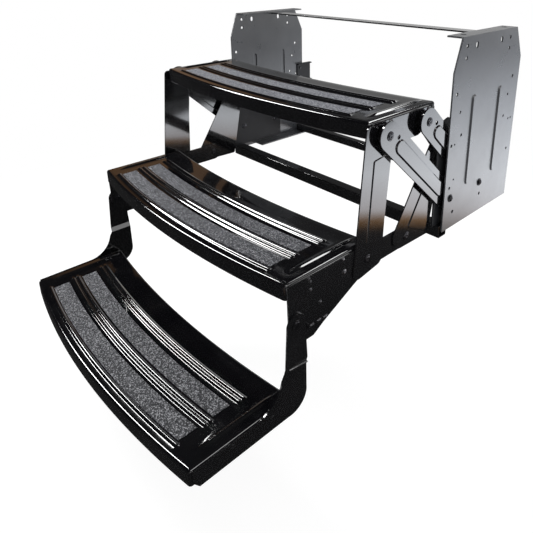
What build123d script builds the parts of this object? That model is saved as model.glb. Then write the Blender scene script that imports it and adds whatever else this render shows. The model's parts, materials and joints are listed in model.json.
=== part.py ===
from build123d import *
import os
from math import asin, atan2, degrees, hypot, sqrt

# Camper entry step with three treads, folded out. Millimetres.
# X runs across the step, +Y points under the camper, +Z is up.
# The origin is the middle of the four bolts that hang the frame from the camper's floor,
# on the top face of the frame's top flanges.

# Treads
tread_width = 600.0
tread_depth = 182.0
rise = 203.0
run = 174.0
front_bulge = 27.0
rear_bulge = 22.0
tread_sheet = 2.5
nose_depth = 27.0
side_flange_depth = 14.0
edge_radius = 5.0
corner_radius = 7.0

# Pressed beads and grip strips, as distances behind the tread's nose
bead_places = (17.5, 65.5, 75.0, 127.0, 136.5)
grip_starts = (24.0, 83.0)
grip_widths = (31.0, 30.0)
grip_thickness = 0.8
grip_half_length = 248.0
bead_width = 9.0
bead_height = 2.8
bead_half_length = 253.0
side_bead_inset = 20.0
side_bead_start = 38.0
side_bead_end_inset = 22.0

# Frame
frame_depth = 248.0
frame_height = 363.0
frame_sheet = 3.0
flange_width = 29.0
front_chamfer = (20.0, 60.0)
rear_chamfer = (28.0, 60.0)
bottom_flange_start = 66.0
rib_width = 14.0
rib_height = 2.5
rib_top = 109.0
rib_length = 178.0
rib_places = (75.0, 174.0)
tube_size = 25.0
tube_wall = 2.0
front_tube_drop = 12.0
front_tube_proud = 6.0
rear_tube_size = 20.0
rear_tube_inset = 4.0
cross_bar_width = 30.0
cross_bar_setback = 112.0
top_bolt_hole = 11.0
top_bolt_pitch = 150.0
support_proud = 17.0
support_front_drop = 14.0
support_top = (30.0, 6.0)
support_rear_top = (6.0, 42.0)
support_rear = 22.0
support_corner = 6.0
rear_bracket_width = 51.0
rear_bracket_height = 52.0
rear_bracket_depth = 10.0
rear_bracket_inset = 22.0
rear_bracket_drop = 158.0
rear_bracket_bolt_pitch = 26.0

# Holes of a side plate: distance behind its front edge, height from its top, radius
side_bolt_places = ((36, -17), (36, -38), (194, -17), (194, -38))
# The rear holes are measured from its rear edge, and the lowest ones from its bottom edge
side_bolt_radius = 3.5
front_holes = (
    (14, -99, 3.5), (30, -134, 3.0), (40, -179, 3.0), (9, -193, 3.0), (14, -277, 3.0),
    (20, -193, 2.0), (26, -263, 2.0))
rear_holes = (
    (-27, -97, 3.5), (-39, -132, 3.0), (-48, -176, 3.0), (-18, -253, 3.0), (-25, -186, 2.5), (-15, -186, 2.5))
lowest_holes = ((32, 32, 3.5), (131, 38, 3.5))
slot_places = ((69, -18), (160, -18))
slot_length = 12.0
slot_width = 8.0

# Where the top tread stands, seen from the frame
top_tread_reach = 196.0
top_tread_drop = 109.0

# Pivots, seen from the tread or frame that carries them
frame_pivot_setback = 20.0
frame_pivot_lift = 64.0
pivot_pitch = 107.0
top_pivot_setback = 34.0
top_pivot_drop = 26.0
middle_pivot_setback = 175.0
middle_pivot_drop = 31.0
flip_pivot_setback = 16.0
flip_pivot_drop = 73.0

# Links, legs and side plates
side_sheet = 2.5
link_sheet = 3.0
link_width = 48.0
link_boss_height = 2.4
link_boss_inset = 37.0
link_boss_margin = 11.0
link_hole_radius = 4.0
link_hole_place = (21.0, 10.0)
pressing_wall = 1.0
leg_sheet = 2.5
leg_boss_height = 1.7
leg_boss_slope = 1.5
front_leg_top_radius = 17.0
rear_leg_top_radius = 16.0
knee_offset = (51.0, -48.0)
knee_radius = 20.0

# Round corners of the legs and of their raised panels, as (y, z, radius) from the nearest pivot
front_leg_shoulder = (-35.0, 12.0, 8.0)
front_leg_foot = ((26.0, -11.0, 12.0), (-19.0, -16.0, 14.0))
front_panel_top = ((-20.0, -42.0, 5.0), (14.0, -38.0, 5.0))
front_panel_foot = ((33.0, 30.0, 5.0), (2.0, 30.0, 5.0))
rear_leg_foot = (-14.0, 6.0, 24.0)
rear_leg_heel = (63.0, -15.0, 5.0)
rear_panel_knee = (2.0, -28.0, 7.0)
rear_panel_foot = (24.0, 12.0, 6.0)
rear_panel_heel = (-9.0, 12.0, 6.0)

# Side plates of the treads
bracket_front = 5.0
bracket_rear_inset = 7.0
bracket_rear_steps = ((0.0, 18.0), (18.0, 34.0))
bracket_low_from = 18.0
bracket_low_to = 80.0
bracket_low_end = 45.0
bracket_below_pivot = 21.0
bracket_corner = 5.0
gusset_edge = 2.0
gusset_arm_radius = 20.0
gusset_below_flip = 41.0
arm_top_radius = 18.0
arm_spread = 4.0
joggle_start = 70.0
joggle_end = 80.0
shoe_top_gap = 1.0
shoe_depth = 33.0
shoe_front = 4.0
shoe_nose = (9.0, 21.0)

# Pins, spacers and screws
pin_diameter = 10.0
pin_head_diameter = 16.0
pin_head_height = 1.6
frame_head_diameter = 15.0
frame_head_height = 4.0
spacer_diameter = 36.0
frame_spacer_diameter = 22.0
screw_diameter = 5.0
screw_head_diameter = 8.0
screw_head_height = 2.2
nut_height = 3.0
countersink_depth = 1.6

# Where the screws sit: the front one behind a tread's nose, the rear one ahead of its rear edge
screw_drop = 9.0
top_screw_insets = (53.0, 25.0)
middle_screw_insets = (43.0, 64.0)
bottom_rivet_insets = (70.0, 42.0)
gusset_bolt_places = ((47.0, 30.0), (67.0, 61.0))

# Fits
running_clearance = 0.05
layer_gap = 0.3
boss_gap = 3.2
link_gap = 1.0
plate_gap = 1.9

# Layers from the middle of the step outwards, on the right side
pan_half = tread_width / 2
side_bead_end = tread_depth - side_bead_end_inset
side_inner = pan_half
side_outer = side_inner + side_sheet
leg_inner = side_outer + layer_gap
leg_outer = leg_inner + leg_sheet
support_inner = leg_outer + leg_boss_height + boss_gap
support_outer = support_inner + side_sheet
link_inner = support_outer + link_gap
link_outer = link_inner + link_sheet
plate_inner = link_outer + link_boss_height + plate_gap
plate_outer = plate_inner + frame_sheet
frame_width = 2 * plate_outer

# Heights and depths of the treads and the frame
frame_front = -frame_depth / 2
frame_rear = frame_depth / 2
frame_bottom = -frame_height
top_y = frame_front - top_tread_reach
top_z = -top_tread_drop
middle_y = top_y - run
middle_z = top_z - rise
bottom_y = middle_y - run
bottom_z = middle_z - rise
top_bolt_x = plate_inner - flange_width / 2

# Pivot points as (y, z)
frame_front_pivot = (frame_front + frame_pivot_setback, frame_bottom + frame_pivot_lift)
frame_rear_pivot = (frame_front_pivot[0] + pivot_pitch, frame_front_pivot[1])
top_front_pivot = (top_y + top_pivot_setback, top_z - top_pivot_drop)
top_rear_pivot = (top_front_pivot[0] + pivot_pitch, top_front_pivot[1])
middle_front_pivot = (middle_y + middle_pivot_setback, middle_z - middle_pivot_drop)
middle_rear_pivot = (middle_front_pivot[0] + pivot_pitch, middle_front_pivot[1])
flip_pivot = (middle_y + flip_pivot_setback, middle_z - flip_pivot_drop)
knee = (top_rear_pivot[0] + knee_offset[0], top_rear_pivot[1] + knee_offset[1])
pin_radius = pin_diameter / 2
running_radius = pin_radius + running_clearance
screw_radius = screw_diameter / 2

# Screws and bolts as (y, z)
def screw_pair(y, z, insets):
    """The front and the rear screw of a tread whose nose is at (y, z)."""
    return [(y + insets[0], z - screw_drop), (y + tread_depth - insets[1], z - screw_drop)]


top_screws = screw_pair(top_y, top_z, top_screw_insets)
middle_screws = screw_pair(middle_y, middle_z, middle_screw_insets)
bottom_rivets = screw_pair(bottom_y, bottom_z, bottom_rivet_insets)
gusset_bolts = [(middle_y + back, middle_z - drop) for back, drop in gusset_bolt_places]
bracket_bolt_y = frame_rear - rear_bracket_inset / 2
bracket_middle_z = -rear_bracket_drop - rear_bracket_height / 2
bracket_bolt_reach = rear_bracket_bolt_pitch / 2
rear_bracket_bolts = [(bracket_bolt_y, bracket_middle_z + side * bracket_bolt_reach) for side in (1, -1)]
bar_y = frame_front + cross_bar_setback + cross_bar_width / 2

# The stop pin of the bottom step touches the rear edge of its hanging arm
stop_drop = 16.0
arm_rear_at_stop = flip_pivot[0] + arm_top_radius + arm_spread * stop_drop / joggle_start
stop_pin_at = (arm_rear_at_stop + screw_head_diameter / 2 + layer_gap, flip_pivot[1] - stop_drop)

parts = {}


def keep(name, shape):
    """Stores one piece under its node name."""
    parts[name] = shape


def both(name, solid):
    """Stores the right-hand piece and its mirror image on the left."""
    keep(name + "_right", solid)
    keep(name + "_left", mirror(solid, Plane.YZ))


def both_in_one(name, solids):
    """Stores one node that holds every solid and its mirror image."""
    every = [each for solid in solids for each in (solid, mirror(solid, Plane.YZ))]
    keep(name, Compound(children=every))


def side_plane(x):
    """The plane that a side plate is drawn on: its own x and y are the step's Y and Z."""
    return Plane(origin=(x, 0, 0), x_dir=(0, 1, 0), z_dir=(1, 0, 0))


def plate(sketch, x, thickness):
    """A flat side plate, drawn in Y and Z, from x outwards."""
    return extrude(side_plane(x) * sketch, thickness)


def disc(centre, radius):
    """A filled circle in a side plate's sketch."""
    return Pos(*centre) * Circle(radius)


def wrap(*circles):
    """The outline of a band pulled tight round circles, each (y, z, radius)."""
    rims = [edge for y, z, r in circles for edge in (Pos(y, z) * Circle(r)).edges()]
    return make_hull(rims)


def raised(circles, x, height, slope):
    """A pressed field with sloping edges on top of a flat plate."""
    foot = side_plane(x) * wrap(*circles)
    crown = side_plane(x + height) * wrap(*[(y, z, r - slope) for y, z, r in circles])
    return loft([foot, crown])


def rod(centre, radius, x, length):
    """A round bar along X."""
    return plate(disc(centre, radius), x, length)


def outline(*points):
    """A closed sketch through points."""
    return make_face(Polyline(*points, close=True))


def drilled(sketch, centres, radius):
    """The sketch with round holes."""
    for centre in centres:
        sketch -= disc(centre, radius)
    return sketch


def drilled_along_x(solid, centres):
    """The solid with screw holes right through it."""
    return solid - [rod(at, screw_radius, -tread_width, 2 * tread_width) for at in centres]


def bulged_line(behind):
    """Centre and radius of the curve that lies so far behind a tread's nose."""
    share = behind / (tread_depth + front_bulge - rear_bulge)
    bulge = front_bulge + (rear_bulge - front_bulge) * share
    radius = (pan_half ** 2 + bulge ** 2) / (2 * bulge)
    return behind - front_bulge + radius, radius


def curve_at(behind, half_width):
    """The tread's curve as an arc between two ends at plus and minus half_width."""
    centre_y, radius = bulged_line(behind)
    end_y = centre_y - sqrt(radius ** 2 - half_width ** 2)
    return ThreePointArc((-half_width, end_y), (0, centre_y - radius), (half_width, end_y))


def curved_band(start, width, half_width):
    """A flat band that follows the tread's curve, between two straight ends."""
    near = curve_at(start, half_width)
    far = curve_at(start + width, half_width)
    return make_face([near, Line(near @ 1, far @ 1), far, Line(far @ 0, near @ 0)])


def bead_section(width, height):
    """The rounded section of a pressed bead."""
    base = Line((-width / 2, 0), (width / 2, 0))
    return make_face([base, ThreePointArc((-width / 2, 0), (0, height), (width / 2, 0))])


def curved_bead(behind, width, height):
    """A bead along the tread, revolved about the centre of its own curve."""
    centre_y, radius = bulged_line(behind)
    reach = degrees(asin(bead_half_length / radius))
    section = Plane.YZ * (Pos(-radius, 0) * bead_section(width, height))
    return Pos(0, centre_y, 0) * revolve(Rot(0, 0, -reach) * section, Axis.Z, 2 * reach)


def side_bead(width, height):
    """The straight bead along the right end of a tread."""
    section = Plane.XZ * (Pos(pan_half - side_bead_inset, 0) * bead_section(width, height))
    return Pos(0, side_bead_start, 0) * extrude(section, side_bead_start - side_bead_end)


def bead_end(width, height):
    """The rounded end of a bead: half its section, revolved."""
    rim = Edge.make_three_point_arc((-width / 2, 0), (0, height), (width / 2, 0))
    half = make_face([
        Line((0, 0), (width / 2, 0)),
        ThreePointArc((width / 2, 0), rim @ 0.75, (0, height)),
        Line((0, height), (0, 0))])
    return revolve(Plane.XZ * half, Axis.Z)


def all_beads(width, height, drop):
    """Every bead of a tread, as raised forms or as the hollows below them."""
    right = side_bead(width, height)
    beads = [right, mirror(right, Plane.YZ)]
    dome = bead_end(width, height)
    for place in bead_places:
        beads.append(curved_bead(place, width, height))
        ends = curve_at(place, bead_half_length)
        beads += [Pos(ends @ 0) * dome, Pos(ends @ 1) * dome]
    for side in (-1, 1):
        for y in (side_bead_start, side_bead_end):
            beads.append(Pos(side * (pan_half - side_bead_inset), y, 0) * dome)
    return [Pos(0, 0, -drop) * bead for bead in beads]


def tread_pan():
    """One pressed tread, drawn with its front corners on y = 0 and its top on z = 0."""
    shape = curved_band(0, tread_depth + front_bulge - rear_bulge, pan_half)
    shape = fillet(shape.vertices(), corner_radius)
    pan = extrude(shape, -nose_depth)
    pan = fillet(pan.faces().sort_by(Axis.Z)[-1].edges(), edge_radius)
    hollow = extrude(offset(shape, -tread_sheet), tread_sheet - nose_depth)
    hollow = fillet(hollow.faces().sort_by(Axis.Z)[-1].edges(), edge_radius - tread_sheet)
    pan -= Pos(0, 0, -tread_sheet) * hollow
    lower = nose_depth - side_flange_depth
    cut_start = 3 * edge_radius
    cut_end = tread_depth + edge_radius
    cut = Box(4 * tread_sheet, cut_end - cut_start, lower)
    for side in (-1, 1):
        pan -= Pos(side * pan_half, (cut_start + cut_end) / 2, -side_flange_depth - lower / 2) * cut
    pan += all_beads(bead_width, bead_height, 0)
    return pan - all_beads(bead_width - tread_sheet, bead_height, tread_sheet)


def grip_strip(index):
    """One sanded strip that lies on the tread between two beads."""
    return extrude(curved_band(grip_starts[index], grip_widths[index], grip_half_length), grip_thickness)


def flush_rivet(centre, x_in, x_out):
    """A rivet whose cone-shaped head lies level with the outer face."""
    shank = rod(centre, screw_radius, x_in, x_out - x_in)
    inner_head = rod(centre, screw_head_diameter / 2, x_in - screw_head_height, screw_head_height)
    return shank + inner_head + countersink(centre, x_out)


def countersink(centre, x_out):
    """The cone under a flush head."""
    cone = Cone(screw_radius, screw_head_diameter / 2, countersink_depth)
    return Pos(x_out - countersink_depth / 2, *centre) * Rot(0, 90, 0) * cone


def screw(centre, x_in, x_out):
    """A bolt through side plates, with a round head outside and a nut inside."""
    shank = rod(centre, screw_radius, x_in, x_out - x_in)
    head = rod(centre, screw_head_diameter / 2, x_out, screw_head_height)
    head = chamfer(head.faces().sort_by(Axis.X)[-1].edges(), screw_head_height / 3)
    nut = plate(Pos(*centre) * RegularPolygon(screw_head_diameter / 2, 6), x_in - nut_height, nut_height)
    return shank + head + nut


def pin(centre, x_in, x_out, head, height):
    """A riveted pin along X with a head at both ends."""
    shank = rod(centre, pin_radius, x_in, x_out - x_in)
    outer = rod(centre, head / 2, x_out, height)
    outer = chamfer(outer.faces().sort_by(Axis.X)[-1].edges(), height / 2.5)
    return shank + outer + rod(centre, head / 2, x_in - pin_head_height, pin_head_height)


def tread_pin(centre, x_out):
    """A pin from inside a tread's side plate out to x_out."""
    return pin(centre, side_inner, x_out, pin_head_diameter, pin_head_height)


def ring(centre, diameter, x_in, x_out):
    """A round spacer along X, tight on its pin."""
    return plate(disc(centre, diameter / 2) - disc(centre, pin_radius), x_in, x_out - x_in)


def square_tube(size, wall, length):
    """A square tube along X."""
    section = RectangleRounded(size, size, wall) - Rectangle(size - 2 * wall, size - 2 * wall)
    return Pos(-length / 2, 0, 0) * extrude(Plane.YZ * section, length)


# Frame
def frame_plate():
    """The right side plate with its flanges, pressed ribs, bolt holes and slots."""
    face = outline(
        (frame_front, frame_bottom), (frame_front, -front_chamfer[1]), (frame_front + front_chamfer[0], 0),
        (frame_rear - rear_chamfer[0], 0), (frame_rear, -rear_chamfer[1]), (frame_rear, frame_bottom))
    for y, z in side_bolt_places:
        face -= disc((frame_front + y, z), side_bolt_radius)
    groups = [(frame_front, 0, front_holes), (frame_rear, 0, rear_holes)]
    groups.append((frame_front, frame_bottom, lowest_holes))
    for edge_y, edge_z, holes in groups:
        for y, z, radius in holes:
            face -= disc((edge_y + y, edge_z + z), radius)
    for y, z in slot_places:
        face -= Pos(frame_front + y, z) * SlotOverall(slot_length, slot_width, rotation=90)
    face = drilled(face, (frame_front_pivot, frame_rear_pivot), pin_radius)
    body = plate(face, plate_inner, frame_sheet)
    flange_x = plate_inner - flange_width / 2
    top_length = frame_depth - front_chamfer[0] - rear_chamfer[0]
    top_middle = (front_chamfer[0] - rear_chamfer[0]) / 2
    top_flange = Pos(flange_x, top_middle, -frame_sheet / 2) * Box(flange_width, top_length, frame_sheet)
    for y in (-top_bolt_pitch / 2, top_bolt_pitch / 2):
        top_flange -= Pos(top_bolt_x, y, -frame_sheet / 2) * Cylinder(top_bolt_hole / 2, 2 * frame_sheet)
    low_length = frame_depth - bottom_flange_start
    low_middle = frame_rear - low_length / 2
    low_flange = Pos(flange_x, low_middle, frame_bottom + frame_sheet / 2)
    body += [top_flange, low_flange * Box(flange_width, low_length, frame_sheet)]
    rib_high = -rib_top - rib_width / 2
    rib_low = -rib_top - rib_length + rib_width / 2
    for place in rib_places:
        y = frame_front + place
        outer = ((y, rib_high, rib_width / 2), (y, rib_low, rib_width / 2))
        hollow = rib_width / 2 - pressing_wall
        inner = ((y, rib_high, hollow), (y, rib_low, hollow))
        body += raised(outer, plate_outer, rib_height, rib_height)
        body -= raised(inner, plate_inner, rib_height, rib_height)
    return body


def build_frame():
    """Side plates, cross tubes, cross bar and the plates that carry the links' inner ends."""
    both("side_plate", frame_plate())
    tube_y = frame_front - front_tube_proud + tube_size / 2
    tube_z = frame_bottom - front_tube_drop + tube_size / 2
    keep("front_cross_tube", Pos(0, tube_y, tube_z) * square_tube(tube_size, tube_wall, 2 * plate_inner))
    rear_y = frame_rear - rear_tube_inset - rear_tube_size / 2
    rear_z = frame_bottom + frame_sheet + rear_tube_size / 2
    keep("rear_cross_tube", Pos(0, rear_y, rear_z) * square_tube(rear_tube_size, tube_wall, 2 * plate_inner))
    bar = Pos(0, bar_y, -1.5 * frame_sheet) * Box(frame_width - 2 * frame_sheet, cross_bar_width, frame_sheet)
    bar_screw = Pos(top_bolt_x, bar_y, -2 * frame_sheet) * Cylinder(
        screw_radius, 2 * frame_sheet, align=(Align.CENTER, Align.CENTER, Align.MIN))
    bar_head = Pos(top_bolt_x, bar_y, -2 * frame_sheet) * Cylinder(
        screw_head_diameter / 2, screw_head_height, align=(Align.CENTER, Align.CENTER, Align.MAX))
    for side in (-1, 1):
        bar -= Pos(side * top_bolt_x, bar_y, 0) * Cylinder(screw_radius, 8 * frame_sheet)
    keep("top_cross_bar", bar)
    both_in_one("cross_bar_screws", [bar_screw + bar_head])
    for side in ("_right", "_left"):
        parts["side_plate" + side] -= parts["cross_bar_screws"]
    support_front = frame_front - support_proud
    support_low = tube_z + tube_size / 2
    pivot_y, pivot_z = frame_rear_pivot
    support = outline(
        (support_front, support_low), (support_front, top_rear_pivot[1] - support_front_drop),
        (support_front + support_top[0], top_rear_pivot[1] - support_top[1]),
        (pivot_y + support_rear_top[0], pivot_z + support_rear_top[1]),
        (pivot_y + support_rear, pivot_z), (pivot_y + support_rear, support_low))
    support = fillet(support.vertices().sort_by(Axis.Y)[-4:], support_corner)
    support = drilled(support, (frame_front_pivot, frame_rear_pivot), pin_radius)
    both("link_support", plate(support, support_inner, side_sheet))
    pivots = (frame_front_pivot, frame_rear_pivot)
    pins = [pin(at, support_inner, plate_outer, frame_head_diameter, frame_head_height) for at in pivots]
    both_in_one("frame_pivot_pins", pins)
    rings = [ring(at, frame_spacer_diameter, link_outer + layer_gap, plate_inner) for at in pivots]
    rings += [ring(at, frame_spacer_diameter, support_outer, link_inner - layer_gap) for at in pivots]
    both_in_one("frame_pivot_spacers", rings)
    centre_y = frame_rear - rear_bracket_inset + rear_bracket_width / 2
    bracket = Pos(rear_bracket_depth / 2 - plate_inner, centre_y, bracket_middle_z) * Box(
        rear_bracket_depth, rear_bracket_width, rear_bracket_height)
    bracket -= Pos(rear_bracket_depth / 2 - plate_inner + frame_sheet, centre_y, bracket_middle_z) * Box(
        rear_bracket_depth, rear_bracket_width, rear_bracket_height - 2 * frame_sheet)
    bolts = [screw(at, -plate_outer, frame_sheet - plate_inner) for at in rear_bracket_bolts]
    keep("rear_bracket_bolts", Compound(children=bolts))
    keep("rear_bracket", drilled_along_x(bracket, rear_bracket_bolts))
    parts["side_plate_left"] = drilled_along_x(parts["side_plate_left"], rear_bracket_bolts)


# Links and legs
def link_solid(lower, upper):
    """A pressed link from a frame pivot to a tread pivot, with a raised field along its middle."""
    length = hypot(upper[0] - lower[0], upper[1] - lower[1])
    unit = ((upper[0] - lower[0]) / length, (upper[1] - lower[1]) / length)
    turn = degrees(atan2(unit[1], unit[0]))
    place = Pos((upper[0] + lower[0]) / 2, (upper[1] + lower[1]) / 2) * Rot(0, 0, turn)
    band = place * SlotCenterToCenter(length, link_width)
    band = drilled(band, (lower, upper), running_radius)
    small_hole = place * Pos(length / 2 - link_hole_place[0], -link_hole_place[1]) * Circle(link_hole_radius)
    body = plate(band - small_hole, link_inner, link_sheet)
    near = (lower[0] + unit[0] * link_boss_inset, lower[1] + unit[1] * link_boss_inset)
    far = (upper[0] - unit[0] * link_boss_inset, upper[1] - unit[1] * link_boss_inset)
    outer = link_width / 2 - link_boss_margin
    body += raised(((*near, outer), (*far, outer)), link_outer, link_boss_height, link_boss_height)
    hollow = outer - pressing_wall
    body -= raised(((*near, hollow), (*far, hollow)), link_inner, link_boss_height, link_boss_height)
    return body


def leg_solid(shape, panel, pivots):
    """A flat leg with a raised panel on its outer face."""
    body = plate(drilled(shape, pivots, running_radius), leg_inner, leg_sheet)
    return body + raised(panel, leg_outer, leg_boss_height, leg_boss_slope)


def corner(pivot, place):
    """A round corner seen from a pivot."""
    return pivot[0] + place[0], pivot[1] + place[1], place[2]


def front_leg_solid():
    """The broad leg from the top tread's front pivot to the middle tread's front pivot."""
    upper, lower = top_front_pivot, middle_front_pivot
    foot = [corner(lower, place) for place in front_leg_foot]
    shape = wrap((*upper, front_leg_top_radius), corner(upper, front_leg_shoulder), *foot)
    panel = [corner(upper, place) for place in front_panel_top]
    panel += [corner(lower, place) for place in front_panel_foot]
    return leg_solid(shape, panel, (upper, lower))


def rear_leg_solid():
    """The bowed leg from the top tread's rear pivot to the middle tread's rear pivot."""
    upper, lower = top_rear_pivot, middle_rear_pivot
    foot, heel = corner(lower, rear_leg_foot), corner(lower, rear_leg_heel)
    bend = (*knee, knee_radius)
    shape = wrap((*upper, rear_leg_top_radius), bend) + wrap(bend, foot, heel)
    panel = (corner(knee, rear_panel_knee), corner(foot, rear_panel_foot), corner(heel, rear_panel_heel))
    shape = drilled(shape, (knee,), screw_radius)
    return leg_solid(shape, panel, (upper, lower))


def build_linkage():
    """The four links and four legs, with the pins and spacers of the moving pivots."""
    both("front_link", link_solid(frame_front_pivot, top_front_pivot))
    both("rear_link", link_solid(frame_rear_pivot, top_rear_pivot))
    both("front_leg", front_leg_solid())
    both("rear_leg", rear_leg_solid())
    both_in_one("rear_leg_bolts", [screw(knee, leg_inner, leg_outer)])
    tops = (top_front_pivot, top_rear_pivot)
    middles = (middle_front_pivot, middle_rear_pivot)
    reach = link_outer + layer_gap
    both_in_one("top_pivot_pins", [tread_pin(at, reach) for at in tops])
    rings = [ring(at, spacer_diameter, leg_outer + layer_gap, link_inner - layer_gap) for at in tops]
    both_in_one("top_pivot_spacers", rings)
    reach = leg_outer + layer_gap
    both_in_one("middle_pivot_pins", [tread_pin(at, reach) for at in middles])
    both_in_one("flip_pivot_pins", [tread_pin(flip_pivot, reach)])
    stop = rod(stop_pin_at, screw_radius, side_inner, side_sheet)
    stop += rod(stop_pin_at, screw_head_diameter / 2, side_outer, leg_outer - side_outer)
    both_in_one("flip_stop_pins", [stop])


# Treads with their side plates
def top_bracket():
    """The plate that hangs below an end of the top tread and carries two pivots."""
    front, rear = top_y + bracket_front, top_y + tread_depth - bracket_rear_inset
    top = top_z - edge_radius
    low = top_front_pivot[1] - bracket_below_pivot
    steps = [(rear - back, top - drop) for back, drop in bracket_rear_steps]
    shape = outline(
        (front, top), (rear, top), *steps, (rear - bracket_low_end, low - 3),
        (rear - bracket_low_to, low - 3), (front + bracket_low_from, low + 4), (front, low + 16))
    shape = fillet(shape.vertices(), bracket_corner)
    shape = drilled(shape, (top_front_pivot, top_rear_pivot), pin_radius)
    return plate(drilled(shape, top_screws, screw_radius), side_inner, side_sheet)


def middle_gusset():
    """The plate below an end of the middle tread, with its arm to the rear leg."""
    top = middle_z - edge_radius
    front, rear = middle_y + gusset_edge, middle_y + tread_depth - gusset_edge
    low = flip_pivot[1] - gusset_below_flip
    arm_top = middle_rear_pivot[1] + gusset_arm_radius
    arm_low = middle_rear_pivot[1] - gusset_arm_radius
    shape = outline(
        (front, top), (rear, top), (rear + 12, arm_top),
        (middle_rear_pivot[0], arm_top), (middle_rear_pivot[0], arm_low),
        (middle_front_pivot[0] + 9, arm_low), (middle_front_pivot[0] - 30, middle_front_pivot[1] - 37),
        (flip_pivot[0] + 60, low + 13), (flip_pivot[0] + 38, low), (flip_pivot[0] + 10, low),
        (front + 2, flip_pivot[1] - 14))
    shape += disc(middle_rear_pivot, gusset_arm_radius)
    shape = drilled(shape, (flip_pivot, middle_front_pivot, middle_rear_pivot), pin_radius)
    shape = drilled(shape, (*middle_screws, *gusset_bolts, stop_pin_at), screw_radius)
    return plate(shape, side_inner, side_sheet)


def bottom_arm():
    """An arm of the bottom tread: its upper end stands further out than its shoe."""
    neck_y, neck_z = flip_pivot
    half, wide = arm_top_radius, arm_top_radius + arm_spread
    neck = disc(flip_pivot, half) + outline(
        (neck_y - half, neck_z), (neck_y + half, neck_z),
        (neck_y + wide, neck_z - joggle_start), (neck_y - wide, neck_z - joggle_start))
    neck -= disc(flip_pivot, running_radius)
    body = plate(neck, leg_inner, leg_sheet)
    high = Plane(origin=((leg_inner + leg_outer) / 2, neck_y, neck_z - joggle_start))
    low = Plane(origin=((side_inner + side_outer) / 2, neck_y, neck_z - joggle_end))
    body += loft([low * Rectangle(side_sheet, 2 * wide), high * Rectangle(leg_sheet, 2 * wide)])
    top = bottom_z - shoe_top_gap
    bottom = top - shoe_depth
    front = bottom_y + shoe_front
    start = neck_z - joggle_end
    shoe = make_face([
        Line((neck_y + wide, start), (neck_y - wide, start)),
        Line((neck_y - wide, start), (neck_y - wide - 6, start - 10)),
        ThreePointArc(
            (neck_y - wide - 6, start - 10), (neck_y - wide - 21, top + 14), (neck_y - wide - 54, top)),
        Line((neck_y - wide - 54, top), (front, top)),
        Line((front, top), (front, top - shoe_nose[1])),
        Line((front, top - shoe_nose[1]), (front + shoe_nose[0], bottom)),
        Line((front + shoe_nose[0], bottom), (neck_y + wide - 38, bottom)),
        ThreePointArc(
            (neck_y + wide - 38, bottom), (neck_y + wide - 10, bottom + 9), (neck_y + wide, bottom + 36)),
        Line((neck_y + wide, bottom + 36), (neck_y + wide, start))])
    body += plate(drilled(shoe, bottom_rivets, screw_radius), side_inner, side_sheet)
    return body - [countersink(at, side_outer) for at in bottom_rivets]


def build_step(name, y, z, side_name, side_solid, screw_places, fastener):
    """One tread at (y, z) with its grip strips, side plates and the screws or rivets that join them."""
    place = Pos(0, y, z)
    pan = place * tread_pan()
    keep(name + "_tread", drilled_along_x(pan, screw_places))
    for index, row in enumerate(("front", "rear")):
        keep(f"{name}_grip_{row}", place * grip_strip(index))
    both(f"{name}_{side_name}", side_solid)
    joined = [fastener(at, side_inner - tread_sheet, side_outer) for at in screw_places]
    both_in_one(name + "_tread_bolts", joined)


build_frame()
build_linkage()
build_step("top", top_y, top_z, "bracket", top_bracket(), top_screws, screw)
build_step("middle", middle_y, middle_z, "gusset", middle_gusset(), middle_screws, screw)
both_in_one("gusset_bolts", [screw(at, side_inner, side_outer) for at in gusset_bolts])
build_step("bottom", bottom_y, bottom_z, "arm", bottom_arm(), bottom_rivets, flush_rivet)

os.makedirs("parts", exist_ok=True)
for node, shape in parts.items():
    export_step(shape, f"parts/{node}.step")
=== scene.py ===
# %% [markdown]
# # A folding camper entry step
# Three pressed steel treads hang from a frame on links and legs. The solid model of every plate,
# pin and tube is loaded first and stays where it is. This file gives each of them its finish and
# adds what the solid model leaves plain: the soft feet of the beads, the heads of rivets and bolts,
# and the small forms that are pressed into the plates. All sizes are in metres.

# %% Load the solid model
import json
import math
import bpy
import bmesh
from mathutils import Matrix, Vector

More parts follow.
